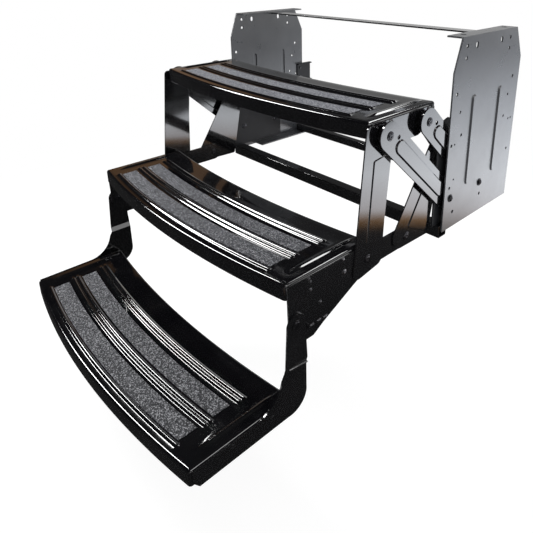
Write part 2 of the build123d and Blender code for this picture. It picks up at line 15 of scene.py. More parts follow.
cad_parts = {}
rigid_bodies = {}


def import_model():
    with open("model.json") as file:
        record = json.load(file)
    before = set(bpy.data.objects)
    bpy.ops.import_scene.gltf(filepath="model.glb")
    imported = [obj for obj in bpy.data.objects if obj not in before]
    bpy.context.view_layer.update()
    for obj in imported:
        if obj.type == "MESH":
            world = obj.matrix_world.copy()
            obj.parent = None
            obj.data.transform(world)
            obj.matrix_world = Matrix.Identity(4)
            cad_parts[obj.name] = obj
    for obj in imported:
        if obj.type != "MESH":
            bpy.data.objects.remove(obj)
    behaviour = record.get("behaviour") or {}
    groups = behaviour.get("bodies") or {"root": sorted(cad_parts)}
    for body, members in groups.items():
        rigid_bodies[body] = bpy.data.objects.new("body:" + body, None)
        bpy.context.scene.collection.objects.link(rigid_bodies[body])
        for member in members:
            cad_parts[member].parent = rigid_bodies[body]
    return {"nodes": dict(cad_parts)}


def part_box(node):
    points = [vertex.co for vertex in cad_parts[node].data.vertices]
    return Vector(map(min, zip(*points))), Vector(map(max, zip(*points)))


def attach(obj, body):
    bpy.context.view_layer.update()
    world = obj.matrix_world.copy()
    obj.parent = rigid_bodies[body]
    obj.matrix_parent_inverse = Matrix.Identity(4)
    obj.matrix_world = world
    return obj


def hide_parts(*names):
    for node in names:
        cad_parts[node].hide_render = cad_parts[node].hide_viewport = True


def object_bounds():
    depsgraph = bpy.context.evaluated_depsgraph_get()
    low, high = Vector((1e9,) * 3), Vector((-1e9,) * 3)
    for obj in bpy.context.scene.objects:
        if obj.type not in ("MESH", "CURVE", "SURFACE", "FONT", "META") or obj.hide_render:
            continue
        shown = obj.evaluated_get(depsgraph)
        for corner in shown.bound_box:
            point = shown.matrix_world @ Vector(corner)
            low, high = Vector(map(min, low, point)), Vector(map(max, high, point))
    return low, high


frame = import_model()
nodes = frame["nodes"]
solid_low, solid_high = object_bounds()
print(len(nodes), "solid pieces, box", [round(v, 3) for v in (*solid_low, *solid_high)])

# %% [markdown]
# ## The camera
# The photograph was taken from the front right, a little above the top tread. Its lines lead to
# this place when the corners of the treads and of the frame are matched to the model. The picture
# was cropped afterwards, so the lens is shifted by up to a quarter of the frame, as a view camera
# does. The camera also leans by half a degree, which is a turn about its own line of sight.

# %% Place the camera
picture_side = 533
focal_pixels = 514.8
optical_centre = (305.0, 130.0)
camera_place = Vector((0.775, -0.900, 0.123))
camera_azimuth = math.radians(46.69)
camera_elevation = math.radians(18.08)
camera_roll = math.radians(-0.51)

lens = bpy.data.cameras.new("photo_lens")
lens.sensor_width = 36.0
lens.lens = lens.sensor_width * focal_pixels / picture_side
lens.shift_x = (picture_side / 2 - optical_centre[0]) / picture_side
lens.shift_y = (optical_centre[1] - picture_side / 2) / picture_side
lens.clip_start = 0.01
lens.clip_end = 60.0
camera = bpy.data.objects.new("photo_camera", lens)
bpy.context.scene.collection.objects.link(camera)
camera.location = camera_place
backwards = Vector((
    math.sin(camera_azimuth) * math.cos(camera_elevation),
    -math.cos(camera_azimuth) * math.cos(camera_elevation),
    math.sin(camera_elevation)))
level_camera = backwards.to_track_quat("Z", "Y").to_matrix()
camera.rotation_euler = (level_camera @ Matrix.Rotation(camera_roll, 3, "Z")).to_euler()
bpy.context.scene.camera = camera
bpy.context.scene.view_settings.view_transform = "Standard"
print("lens", round(lens.lens, 1), "mm, shift", round(lens.shift_x, 3), round(lens.shift_y, 3))

# %% [markdown]
# ## Building a finish from nodes
# Every finish here is a shader with a few textures that Blender computes, so nothing is painted by
# hand. These short helpers add a node, set its plain values and read the piece's own coordinates.
# Coordinates come from the object, in metres, so a scale of 680 means 680 lumps to the metre. A
# value that is the same all over the surface is set on the shader's own socket, where an export
# to another program can read it.

# %% Start a finish
def new_finish(name):
    """A new material, its node tree, its surface shader and the piece's own coordinates."""
    finish = bpy.data.materials.new(name)
    finish.use_nodes = True
    tree = finish.node_tree
    shader = tree.nodes["Principled BSDF"]
    place = tree.nodes.new("ShaderNodeTexCoord").outputs["Object"]
    return finish, tree, shader, place


def set_sockets(node, values):
    """Sets sockets of a node that have one value all over the surface."""
    for socket, value in values.items():
        node.inputs[socket].default_value = value


print(len(bpy.data.materials), "materials come with the solid model")

# %% [markdown]
# ## Clouds
# A noise is a cloud of values between 0 and 1 that keeps mostly to the middle of that range. When
# the middle is stretched to another range, the cloud can drive a gloss that wanders between two ends.

# %% Helpers for clouds
cloud_low, cloud_high = 0.3, 0.7


def noise(tree, place, scale, detail=3.0, roughness=0.5):
    """A cloudy texture with so many lumps to the metre."""
    cloud = tree.nodes.new("ShaderNodeTexNoise")
    set_sockets(cloud, {"Scale": scale, "Detail": detail, "Roughness": roughness})
    tree.links.new(place, cloud.inputs["Vector"])
    return cloud.outputs["Fac"]


def remap(tree, value, low, high, to_low, to_high):
    """Stretches a value from one range to another and stops at the ends."""
    stretch = tree.nodes.new("ShaderNodeMapRange")
    set_sockets(stretch, {"From Min": low, "From Max": high, "To Min": to_low, "To Max": to_high})
    tree.links.new(value, stretch.inputs["Value"])
    return stretch.outputs["Result"]


def wander(tree, cloud, low, high):
    """A value that wanders between low and high with a cloud."""
    return remap(tree, cloud, cloud_low, cloud_high, low, high)


print("cloud helpers:", ", ".join(helper.__name__ for helper in (noise, remap, wander)))

# %% [markdown]
# ## Colour and relief
# A texture's value becomes a colour when it is sent through a ramp of stops. Read as a height, it
# makes the surface look raised without changing its shape, which suits what is too fine to build.

# %% Helpers for colour and relief
def ramp(tree, value, stops):
    """Turns a value into a colour by way of stops, each (position, grey or colour)."""
    strip = tree.nodes.new("ShaderNodeValToRGB")
    elements = strip.color_ramp.elements
    while len(elements) < len(stops):
        elements.new(0.5)
    for element, (position, colour) in zip(elements, stops):
        shade = colour if isinstance(colour, tuple) else (colour, colour, colour)
        element.position = position
        element.color = (*shade, 1.0)
    tree.links.new(value, strip.inputs["Fac"])
    return strip.outputs["Color"]


def bump(tree, height, distance, strength, normal=None):
    """Makes the surface look raised where height is large, by up to distance metres."""
    relief = tree.nodes.new("ShaderNodeBump")
    set_sockets(relief, {"Strength": strength, "Distance": distance})
    tree.links.new(height, relief.inputs["Height"])
    if normal is not None:
        tree.links.new(normal, relief.inputs["Normal"])
    return relief.outputs["Normal"]


print("colour and relief helpers:", ramp.__name__, bump.__name__)

# %% [markdown]
# ## Powder coat
# Powder coat is a thick plastic skin that is baked on. Close up it has a faint orange peel, and its
# gloss wanders a little, which keeps long reflections from looking like a mirror. Sheared edges of
# plates are never razor sharp under it, so a bevel node rounds their shading by half a millimetre.
# The treads need neither the bevel node nor the peel: their bends are real shape, and even a small
# bump would break the long bright lines on the beads into dots.

# %% Mix a powder coat
edge_rounding = 0.0006
edge_samples = 6
tint_lumps, gloss_lumps, peel_lumps = 14.0, 26.0, 240.0
tint_from, tint_to = 0.3, 0.75
peel_depth = 0.0003


def powder_coat(name, dark, light, roughness, peel, sharp_edges=True):
    """A baked coat that wanders between two colours and between two values of roughness."""
    finish, tree, shader, place = new_finish(name)
    tint = ramp(tree, noise(tree, place, tint_lumps, detail=6.0), ((tint_from, dark), (tint_to, light)))
    tree.links.new(tint, shader.inputs["Base Color"])
    gloss = wander(tree, noise(tree, place, gloss_lumps, detail=5.0, roughness=0.6), *roughness)
    tree.links.new(gloss, shader.inputs["Roughness"])
    normal = None
    if sharp_edges:
        rounded = tree.nodes.new("ShaderNodeBevel")
        rounded.samples = edge_samples
        set_sockets(rounded, {"Radius": edge_rounding})
        normal = rounded.outputs["Normal"]
    if peel:
        normal = bump(tree, noise(tree, place, peel_lumps, detail=2.0), peel_depth, peel, normal)
    if normal is not None:
        tree.links.new(normal, shader.inputs["Normal"])
    return finish, shader


print("edges look rounded by", edge_rounding * 1000, "mm")

# %% [markdown]
# ## The coats of the step
# Treads, links, legs and tubes are glossy: a hard clear layer over the black gives them deep
# reflections. The two side plates have a softer sheen with a little grey in it. The plates inside
# them have a darker, less shiny coat that is painted shade, for the shadow in the narrow gap between
# the plates. All are the same coat with other values, and the treads have theirs without peel and
# rounded edges.

# %% Make the powder coats
wet_gloss = {"Specular IOR Level": 0.8, "Coat Weight": 1.0, "Coat Roughness": 0.05, "Coat IOR": 1.9}
soft_sheen = {"Specular IOR Level": 1.0, "Coat Weight": 0.8, "Coat Roughness": 0.22, "Coat IOR": 1.8}

gloss_black, gloss_shader = powder_coat(
    "gloss_black_coat", (0.004, 0.004, 0.005), (0.009, 0.009, 0.010), roughness=(0.07, 0.14), peel=0.10)
set_sockets(gloss_shader, wet_gloss)
tread_black, tread_shader = powder_coat(
    "tread_black_coat", (0.003, 0.003, 0.004), (0.007, 0.007, 0.008), roughness=(0.07, 0.14), peel=0.0,
    sharp_edges=False)
set_sockets(tread_shader, wet_gloss)
satin_frame, satin_shader = powder_coat(
    "satin_frame_coat", (0.050, 0.053, 0.060), (0.075, 0.079, 0.088), roughness=(0.26, 0.36), peel=0.10)
set_sockets(satin_shader, soft_sheen)
# The inner plates' coat is painted shade: darker and less shiny, for the shadow between the plates.
inner_painted_shade, inner_shade_shader = powder_coat(
    "inner_plate_coat", (0.014, 0.014, 0.016), (0.024, 0.025, 0.028), roughness=(0.32, 0.42), peel=0.12)
set_sockets(inner_shade_shader, {"Specular IOR Level": 0.35})
print("coats:", gloss_black.name, tread_black.name, satin_frame.name, inner_painted_shade.name)

# %% [markdown]
# ## Pins, bolts and spacers
# Rivets and bolts are plated dark. Handling rubs them, so parts of them are brighter. One noise
# mixes the plating with bare metal in small spots, and a much finer one gives the surface a grain.

# %% Make the dark metal
wear_lumps, sheen_lumps, grain_lumps = 160.0, 90.0, 900.0
wear_from, wear_to = 0.52, 0.70
smoother, rougher = 0.06, 0.08
grain_depth, grain_strength = 0.0002, 0.15


def rubbed_metal(name, plated, bare, roughness):
    """Dark plated metal with brighter spots where it has been rubbed."""
    finish, tree, shader, place = new_finish(name)
    spots = noise(tree, place, wear_lumps, detail=4.0, roughness=0.65)
    wear = ramp(tree, spots, ((wear_from, plated), (wear_to, bare)))
    tree.links.new(wear, shader.inputs["Base Color"])
    sheen = noise(tree, place, sheen_lumps)
    gloss = wander(tree, sheen, roughness - smoother, roughness + rougher)
    tree.links.new(gloss, shader.inputs["Roughness"])
    set_sockets(shader, {"Metallic": 0.9})
    grain = noise(tree, place, grain_lumps, detail=2.0)
    tree.links.new(bump(tree, grain, grain_depth, grain_strength), shader.inputs["Normal"])
    return finish


pin_metal = rubbed_metal("pin_metal", (0.045, 0.045, 0.05), (0.20, 0.20, 0.21), 0.17)
bolt_metal = rubbed_metal("bolt_metal", (0.12, 0.12, 0.126), (0.48, 0.48, 0.50), 0.18)
print("metals:", pin_metal.name, bolt_metal.name)

# %% [markdown]
# ## Grit strips
# Each tread has two strips of mineral grit, like coarse sandpaper. The grains are black and grey,
# a millimetre or two across, and only some of them catch the light. A cell texture gives every
# grain its own grey, and the same cells raise the surface. A little sheen stands for the dust that
# makes grit paler when it is seen from low down.

# %% Make the grit
grains_per_metre = 680.0
grain_height, grain_relief = 0.0005, 0.5
grain_greys = (
    (0.0, (0.008, 0.008, 0.010)), (0.40, (0.022, 0.023, 0.026)), (0.68, (0.085, 0.087, 0.095)),
    (0.97, (0.44, 0.445, 0.47)))


def grit_finish():
    """Coarse speckled grit: small grains, some of them pale, between black binder."""
    finish, tree, shader, place = new_finish("grit")
    grains = tree.nodes.new("ShaderNodeTexVoronoi")
    set_sockets(grains, {"Scale": grains_per_metre})
    tree.links.new(place, grains.inputs["Vector"])
    speck = tree.nodes.new("ShaderNodeSeparateXYZ")
    tree.links.new(grains.outputs["Color"], speck.inputs[0])
    tree.links.new(ramp(tree, speck.outputs["X"], grain_greys), shader.inputs["Base Color"])
    set_sockets(shader, {
        "Roughness": 0.7, "Sheen Weight": 0.5, "Sheen Roughness": 0.4,
        "Sheen Tint": (0.85, 0.88, 1.0, 1.0)})
    height = bump(tree, grains.outputs["Distance"], grain_height, grain_relief)
    tree.links.new(height, shader.inputs["Normal"])
    return finish


grit = grit_finish()
print("grit:", grit.name, "with grains of", round(1000 / grains_per_metre, 1), "mm")

# %% [markdown]
# ## Which finish goes where
# The treads and everything that swings are glossy. The two side plates have the softer coat, and the
# plates inside them the dark coat of painted shade. Each solid keeps its shape and gets a material
# by what its name says it is.

# %% Give each solid its finish
def finish_for(name):
    """The finish of a solid, from what its name says it is."""
    if "grip" in name:
        return grit
    if "bolts" in name or "screws" in name:
        return bolt_metal
    if "pins" in name or "spacers" in name:
        return pin_metal
    if name.startswith("side_plate"):
        return satin_frame
    # The plates inside the frame take the coat of painted shade for the gap they sit in.
    if name.startswith(("link_support", "rear_bracket")):
        return inner_painted_shade
    return tread_black if name.endswith("_tread") else gloss_black


for name, solid in nodes.items():
    solid.data.materials.clear()
    solid.data.materials.append(finish_for(name))
print("finished", len(nodes), "solids")

# %% [markdown]
# ## The pressed treads
# Each tread is one sheet of steel, pressed so that its edge rolls down all round and five beads
# stand up along it, with one more across each end. The solid could stay as it is, but its beads
# are plain arcs that meet the flat sheet in a crease. A real press leaves a soft foot on each bead,
# and that foot is what draws the long bright lines. So the sheet is built again as a grid whose
# height comes from the distance to the nearest bead.

# %% Measure a tread and list its beads
tread_depth = 0.182
front_bulge, rear_bulge = 0.027, 0.022
curve_depth = tread_depth + front_bulge - rear_bulge
sheet = 0.0025
edge_radius = 0.005
nose_depth, side_flange_depth = 0.027, 0.014
nose_return = 0.015
bead_height = 0.0028
bead_foot = 0.0052
crown_softness = 1.6
long_beads = (0.0175, 0.0655, 0.075, 0.127, 0.1365)
long_bead_half = 0.253
end_bead_inset = 0.020
end_bead_from, end_bead_to = 0.038, 0.160
tread_low, tread_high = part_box("top_tread")
half_width = (tread_high.x - tread_low.x) / 2
print("tread", round(2 * half_width, 3), "m wide with", len(long_beads) + 2, "beads")

# %% [markdown]
# ## The curve and the height of the sheet
# Nose and rear edge are arcs of different radius, and every line between them is an arc in
# between. The long beads follow those arcs and the end beads run straight across, so the height of
# a bead only depends on how far a point lies from the bead's own line. A cosine, raised to a power,
# gives a soft foot and a round crown.

# %% Curve and height of the sheet
def tread_curve(x, behind):
    """How far back a point of the sheet lies, on the curve that starts so far behind the nose."""
    bulge = front_bulge + (rear_bulge - front_bulge) * behind / curve_depth
    radius = (half_width ** 2 + bulge ** 2) / (2 * bulge)
    return behind - front_bulge + radius - math.sqrt(radius ** 2 - x ** 2)


def bead_profile(distance):
    """Height of a bead at a distance from its middle line, with a soft foot and a round crown."""
    if distance >= bead_foot:
        return 0.0
    return bead_height * math.cos(math.pi / 2 * distance / bead_foot) ** crown_softness


def sheet_height(x, behind):
    """Height of the pressed sheet above its flat."""
    past_end = max(0.0, abs(x) - long_bead_half)
    nearest = min(math.hypot(past_end, behind - place) for place in long_beads)
    outside = max(0.0, end_bead_from - behind, behind - end_bead_to)
    across = math.hypot(abs(x) - (half_width - end_bead_inset), outside)
    return bead_profile(min(nearest, across))


print("bead height half way out:", round(1000 * bead_profile(bead_foot / 2), 2), "mm")

# %% [markdown]
# ## Grid lines where they are needed
# A bead is only a centimetre wide, and an even grid fine enough for it would have well over a
# hundred thousand faces. So the lines stand close together only where a bead rises, and a
# centimetre apart elsewhere.

# %% Choose the grid lines
fine_step, coarse_step = 0.0009, 0.010
hair = 1e-6


def grid_lines(low, high, bends):
    """Places from low to high, close together in each (from, to) of bends."""
    places = [low]
    while places[-1] < high - hair:
        here = places[-1]
        inside = any(start - hair <= here < end - hair for start, end in bends)
        step = fine_step if inside else coarse_step
        ahead = [start for start, end in bends if here + hair < start < here + step]
        places.append(min([here + step, high] + ahead))
    return places


end_zone = (long_bead_half - bead_foot, long_bead_half + bead_foot)
side_zone = (half_width - end_bead_inset - bead_foot, half_width - end_bead_inset + bead_foot)
across_bends = [(-b, -a) for a, b in (side_zone, end_zone)] + [end_zone, side_zone]
behind_bends = [(place - bead_foot, place + bead_foot) for place in long_beads]
across_lines = grid_lines(edge_radius - half_width, half_width - edge_radius, across_bends)
behind_lines = grid_lines(edge_radius, curve_depth - edge_radius, behind_bends)
print("grid", len(across_lines), "by", len(behind_lines))

# %% [markdown]
# ## A piece that rides on the model
# Every piece that is added belongs to one moving body, for instance a tread, and swings with it.
# These helpers turn a mesh into an object with a finish and hang it on its body. Smooth shading
# and a sharp-edge angle together keep round forms round and corners crisp.

# %% Helpers for new pieces
def hang(name, mesh, finish, body):
    """A smooth object made of a mesh, with its finish, riding on a body."""
    mesh.materials.clear()
    mesh.materials.append(finish)
    mesh.shade_smooth()
    piece = bpy.data.objects.new(name, mesh)
    bpy.context.scene.collection.objects.link(piece)
    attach(piece, body)
    return piece


def new_piece(name, form, finish, body):
    """A piece made from a mesh under construction."""
    bmesh.ops.recalc_face_normals(form, faces=form.faces)
    mesh = bpy.data.meshes.new(name)
    form.to_mesh(mesh)
    form.free()
    return hang(name, mesh, finish, body)


def sharpen(piece, degrees):
    """Keeps every edge crisp that bends by more than an angle."""
    piece.data.set_sharp_from_angle(angle=math.radians(degrees))


def body_of(node):
    """The moving body that a solid belongs to."""
    return nodes[node].parent.name.removeprefix("body:")


# %% [markdown]
# ## The rolled edge
# Round the grid the sheet turns down with a 5 mm radius and then runs straight: deep at the nose
# and at the rear, shallow along the sides. The deep nose runs on for 15 mm round the front
# corners. The helper first walks once round the border and notes which way is outwards at each
# point, with a small fan of directions at each corner. Every ring of the roll uses the same walk.

# %% Walk round the border
corner_steps = 6
slope_reach = 0.001
deep_turn = 0.9


def border_walk():
    """The grid's border in order: each is (column, row, outward angle), with fans at the corners."""
    last_column, last_row = len(across_lines) - 1, len(behind_lines) - 1
    sides = (
        ([(i, 0) for i in range(last_column + 1)], -90.0),
        ([(last_column, j) for j in range(last_row + 1)], 0.0),
        ([(i, last_row) for i in range(last_column, -1, -1)], 90.0),
        ([(0, j) for j in range(last_row, -1, -1)], 180.0))
    walk = []
    for places, angle in sides:
        walk += [(i, j, angle) for i, j in places[:-1]]
        walk += [(*places[-1], angle + 90.0 * step / corner_steps) for step in range(corner_steps)]
    return walk


def border_spots(rows, front):
    """For each step of the walk: its place, which way is outwards and how deep the flange is."""
    spots = []
    for i, j, angle in border_walk():
        x, y = rows[j][i].co.x, rows[j][i].co.y
        behind = behind_lines[j]
        rise = tread_curve(x + slope_reach, behind) - tread_curve(x - slope_reach, behind)
        frontness = abs(math.sin(math.radians(angle)))
        lean = math.degrees(math.atan(rise / (2 * slope_reach))) * frontness
        turned_out = math.radians(angle + lean)
        is_deep = y - front < nose_return or frontness > deep_turn
        depth = nose_depth if is_deep else side_flange_depth
        spots.append((x, y, math.cos(turned_out), math.sin(turned_out), depth))
    return spots


print("the walk has", len(border_walk()), "steps")

# %% [markdown]
# ## Roll and thickness
# Ring after ring of points is added round the border, a quarter turn in six steps and one straight
# step down. At a corner the first faces of the fan have two points in one place, so they are made
# as triangles. Solidify then gives the sheet its thickness to the inside, and the outer form keeps
# its place.

# %% Roll the edge and thicken the sheet
roll_steps = 6


def roll_edge(form, rows, front, flat):
    """Rings of faces that turn the sheet's border down and carry it to its flanges' depth."""
    spots = border_spots(rows, front)
    previous = [rows[j][i] for i, j, angle in border_walk()]
    for step in range(1, roll_steps + 2):
        turn = math.radians(90.0 * min(step, roll_steps) / roll_steps)
        out = edge_radius * math.sin(turn)
        ring = []
        for x, y, out_x, out_y, depth in spots:
            drop = depth if step > roll_steps else edge_radius * (1 - math.cos(turn))
            ring.append(form.verts.new((x + out_x * out, y + out_y * out, flat - drop)))
        for a in range(len(ring)):
            b = (a + 1) % len(ring)
            corners = [previous[a], ring[a], ring[b], previous[b]]
            form.faces.new([v for n, v in enumerate(corners) if v is not corners[n - 1]])
        previous = ring


def thicken(piece):
    """Gives a sheet its thickness, to the inside."""
    thickness = piece.modifiers.new("sheet", "SOLIDIFY")
    thickness.thickness = sheet
    thickness.offset = -1.0
    thickness.use_even_offset = True
    bpy.context.view_layer.objects.active = piece
    piece.select_set(True)
    bpy.ops.object.modifier_apply(modifier=thickness.name)
    piece.select_set(False)


print("the roll has", roll_steps + 1, "rings")

# %% [markdown]
# ## Press the treads
# Rows of points are joined by faces into the curved sheet with its beads. Its edge is rolled down,
# it gets its thickness, and then it takes the place of the solid tread.

# %% Press a tread
tread_sharpness = 50


def pressed_tread(name, node, body):
    """The sheet of one tread, in the place of its solid."""
    low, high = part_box(node)
    front, flat = low.y + front_bulge, high.z - bead_height
    form = bmesh.new()
    rows = []
    for behind in behind_lines:
        rows.append([form.verts.new((
            x, front + tread_curve(x, behind), flat + sheet_height(x, behind))) for x in across_lines])
    for near, far in zip(rows, rows[1:]):
        for i in range(len(near) - 1):
            form.faces.new((near[i], near[i + 1], far[i + 1], far[i]))
    roll_edge(form, rows, front, flat)
    piece = new_piece(name, form, tread_black, body)
    thicken(piece)
    sharpen(piece, tread_sharpness)
    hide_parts(node)
    return piece


for level in ("top", "middle", "bottom"):
    tread = pressed_tread(level + "_tread_sheet", level + "_tread", level + "_step")
    print(tread.name, len(tread.data.polygons), "faces")

# %% [markdown]
# ## Where the rivets and bolts are
# In the solid model each pin or bolt is a plain bar with a disc at each end, and all of one kind
# share a node. To put a better one on each place, the node's mesh is split into the groups of
# points that hang together, and the box of each group gives its place, length and radius.

# %% Find the separate solids of a node
weld_reach = 1e-5


def corner_of(group, pick):
    """The lowest or highest corner of the box round a group of points."""
    return Vector([pick(vert.co[axis] for vert in group) for axis in range(3)])


def solids_of(node):
    """The low and high corners of each separate solid in a node."""
    form = bmesh.new()
    form.from_mesh(nodes[node].data)
    bmesh.ops.remove_doubles(form, verts=form.verts, dist=weld_reach)
    waiting = set(form.verts)
    boxes = []
    while waiting:
        group = [waiting.pop()]
        for vert in group:
            for edge in vert.link_edges:
                other = edge.other_vert(vert)
                if other in waiting:
                    waiting.remove(other)
                    group.append(other)
        boxes.append((corner_of(group, min), corner_of(group, max)))
    form.free()
    return sorted(boxes, key=lambda box: tuple(round(value, 4) for value in box[0]))


print("gusset bolts:", len(solids_of("gusset_bolts")))
print("pins of the top tread:", len(solids_of("top_pivot_pins")))

# %% [markdown]
# ## The shapes of the heads
# A rivet head is a washer face, a low dome and the dimple that the riveting tool leaves. A bolt
# has a pressed washer under a six-sided head, and a nut inside. Each shape is a short list of steps
# from its seat outwards. A step is a share of the head's height and a share of its radius, so one
# list serves every size.

# %% List the steps of each head
washer_profile = ((0.0, 1.0), (0.6, 1.0), (1.0, 0.92))
hexagon_profile = ((0.0, 0.86), (0.8, 0.86), (1.0, 0.68))
rivet_face = 0.35
dome_foot, dome_roundness = 0.74, 0.6
dome_angles = [math.radians(degrees) for degrees in (0, 25, 45, 62)]
dome = [
    (rivet_face + (1 - rivet_face) * math.sin(angle), dome_foot * math.cos(angle) ** dome_roundness)
    for angle in dome_angles]
rivet_profile = (
    (0.0, 1.0), (0.7 * rivet_face, 1.0), (rivet_face, 0.93), (rivet_face, 0.78),
    *dome, (1.0, 0.36), (0.78, 0.20))


def sized(profile, radius, height):
    """A head's steps as (distance outwards, radius) in metres."""
    return [(out * height, share * radius) for out, share in profile]


print("steps of washer, hexagon and rivet:", len(washer_profile), len(hexagon_profile), len(rivet_profile))

# %% [markdown]
# ## Turning a shape
# All of these heads are turned, as on a lathe: their outline is swept round an axis that runs from
# side to side. With 24 sides the result looks round, and with 6 it is a hexagon.

# %% Turn a shape
round_sides, hexagon_sides = 24, 6


def turned(form, centre, start_x, side, steps, sides=round_sides):
    """A closed turned shape. steps are (distance outwards along X, radius) from its seat."""
    rings = []
    for out, radius in steps:
        x = start_x + side * out
        rings.append([form.verts.new((
            x, centre.y + radius * math.cos(math.tau * k / sides),
            centre.z + radius * math.sin(math.tau * k / sides))) for k in range(sides)])
    for near, far in zip(rings, rings[1:]):
        for k in range(sides):
            form.faces.new((near[k], near[(k + 1) % sides], far[(k + 1) % sides], far[k]))
    form.faces.new(rings[0])
    form.faces.new(rings[-1])


print("a turned rivet head has", len(rivet_profile) * round_sides, "points")

# %% [markdown]
# ## One fastener in place of another
# Pins and bolts differ in how they are drawn, but the way to their places is the same: find each
# solid, see which side of the step it is on, and hand its ends to a function that draws it.

# %% Helper for fasteners
def redraw(node, ending, draw, finish, sharpness):
    """Fasteners drawn by a function of their own in place of a node's plain ones."""
    form = bmesh.new()
    for low, high in solids_of(node):
        centre = (low + high) / 2
        side = 1 if centre.x > 0 else -1
        outer, inner = (high.x, low.x) if side > 0 else (low.x, high.x)
        draw(form, centre, (high.z - low.z) / 2, side, outer, inner)
    body = body_of(node)
    piece = new_piece(node + ending, form, finish, body)
    sharpen(piece, sharpness)
    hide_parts(node)
    print(piece.name, "on", body, "with", len(piece.data.polygons), "faces")


fasteners = [node for node in nodes if "bolts" in node or "pins" in node]
print(sum(len(solids_of(node)) for node in fasteners), "pins and bolts in", len(fasteners), "nodes")

# %% [markdown]
# ## Rivets on every pivot
# The pins that carry the links in the frame have tall heads outside, the others low ones. The
# shank runs from one head's seat to the other's, through the plates that turn on it.

# %% Rivet the pivots
pin_shank = 0.005
pin_head_height, frame_head_height = 0.0016, 0.004
pin_sharpness = 40


def draw_pin(form, centre, radius, side, outer, inner, outer_height=pin_head_height):
    """A shank with a rivet head at both ends."""
    seat_out, seat_in = outer - side * outer_height, inner + side * pin_head_height
    turned(form, centre, seat_out, side, sized(rivet_profile, radius, outer_height))
    turned(form, centre, seat_in, -side, sized(rivet_profile, radius, pin_head_height))
    turned(form, centre, seat_in, side, [(0.0, pin_shank), (abs(seat_out - seat_in), pin_shank)])


def draw_frame_pin(form, centre, radius, side, outer, inner):
    """A pin of the frame, with its tall outer head."""
    draw_pin(form, centre, radius, side, outer, inner, frame_head_height)


redraw("frame_pivot_pins", "_riveted", draw_frame_pin, pin_metal, pin_sharpness)
for node in ("top_pivot_pins", "middle_pivot_pins", "flip_pivot_pins"):
    redraw(node, "_riveted", draw_pin, pin_metal, pin_sharpness)

# %% [markdown]
# ## Bolts with washers and nuts
# The bolts hold what doesn't turn, and one sits in the knee of each rear leg. Their heads point
# outwards and their nuts sit inside, where the photograph doesn't see them.

# %% Bolt the plates
screw_shank = 0.0025
washer_height, hexagon_height = 0.00055, 0.00165
nut_height = 0.003
bolt_sharpness = 35


def draw_bolt(form, centre, radius, side, outer, inner):
    """A washer and a hexagon head outside, a nut inside and the shank between them."""
    seat_out, seat_in = outer - side * (washer_height + hexagon_height), inner + side * nut_height
    head_seat = seat_out + side * washer_height
    turned(form, centre, seat_out, side, sized(washer_profile, radius, washer_height))
    turned(form, centre, head_seat, side, sized(hexagon_profile, radius, hexagon_height), hexagon_sides)
    turned(form, centre, seat_in, -side, sized(hexagon_profile, radius, nut_height), hexagon_sides)
    turned(form, centre, seat_in, side, [(0.0, screw_shank), (abs(seat_out - seat_in), screw_shank)])


for node in ("gusset_bolts", "top_tread_bolts", "middle_tread_bolts", "rear_leg_bolts", "rear_bracket_bolts"):
    redraw(node, "_hexagon", draw_bolt, bolt_metal, bolt_sharpness)

# %% [markdown]
# ## Lances of the gussets
# Below the flip pivot each gusset of the middle tread carries a row of three short lances: little
# bridges of steel that a punch pushes out of the plate. Each is made as half of a rounded bar that
# rises from the plate and sinks back into it. Its rows are arcs, and their height swells and falls
# as the root of a sine does, which is quick at both ends and nearly level between them.

# %% Press the lances
lance_places = ((-0.444, -0.4055), (-0.4290, -0.4050), (-0.4155, -0.4055))
lance_length, lance_rise, lance_half_width = 0.0105, 0.0022, 0.0028
lance_rows, lance_columns = 8, 6
gusset_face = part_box("middle_gusset_right")[1].x


def lance(form, centre, start_x, side):
    """A small bridge pressed out of the plate, lying along Y."""
    rows = []
    for n in range(lance_rows + 1):
        y = centre.y + lance_length * (n / lance_rows - 0.5)
        rise = lance_rise * math.sqrt(math.sin(math.pi * n / lance_rows))
        row = []
        for m in range(lance_columns + 1):
            angle = math.pi * m / lance_columns
            x = start_x + side * max(0.0, rise * math.sin(angle))
            row.append(form.verts.new((x, y, centre.z - lance_half_width * math.cos(angle))))
        rows.append(row)
    for near, far in zip(rows, rows[1:]):
        for m in range(lance_columns):
            form.faces.new((near[m], near[m + 1], far[m + 1], far[m]))
        start = near if near is rows[0] else [near[0], near[-1]]
        end = far if far is rows[-1] else [far[0], far[-1]]
        form.faces.new([*start, *reversed(end)])


for side, hand in ((1, "right"), (-1, "left")):
    pressed = bmesh.new()
    for y, z in lance_places:
        lance(pressed, Vector((0, y, z)), side * gusset_face, side)
    bmesh.ops.remove_doubles(pressed, verts=pressed.verts, dist=hair)
    bmesh.ops.dissolve_degenerate(pressed, dist=hair, edges=pressed.edges)
    piece = new_piece("gusset_lances_" + hand, pressed, bolt_metal, "middle_step")
    print(piece.name, "stand at x =", round(side * gusset_face, 4))

# %% [markdown]
# ## A rivet and a stop bolt
# Near the top edge of each gusset sits a small rivet, and beside the front leg's foot a low bolt.
# Both are drawn as heads only, because nothing of their shanks can be seen. Each size is a radius
# and a height. The bolt's place leaves the leg room: it lies outside the circle that the leg's
# foot sweeps.

# %% Set the heads on the gussets
rivet_at, bolt_at = Vector((0, -0.4465, -0.3275)), Vector((0, -0.372, -0.347))
gusset_rivet_size = (0.003, 0.0012)
stop_washer_size, stop_head_size = (0.0065, 0.0006), (0.0045, 0.0014)

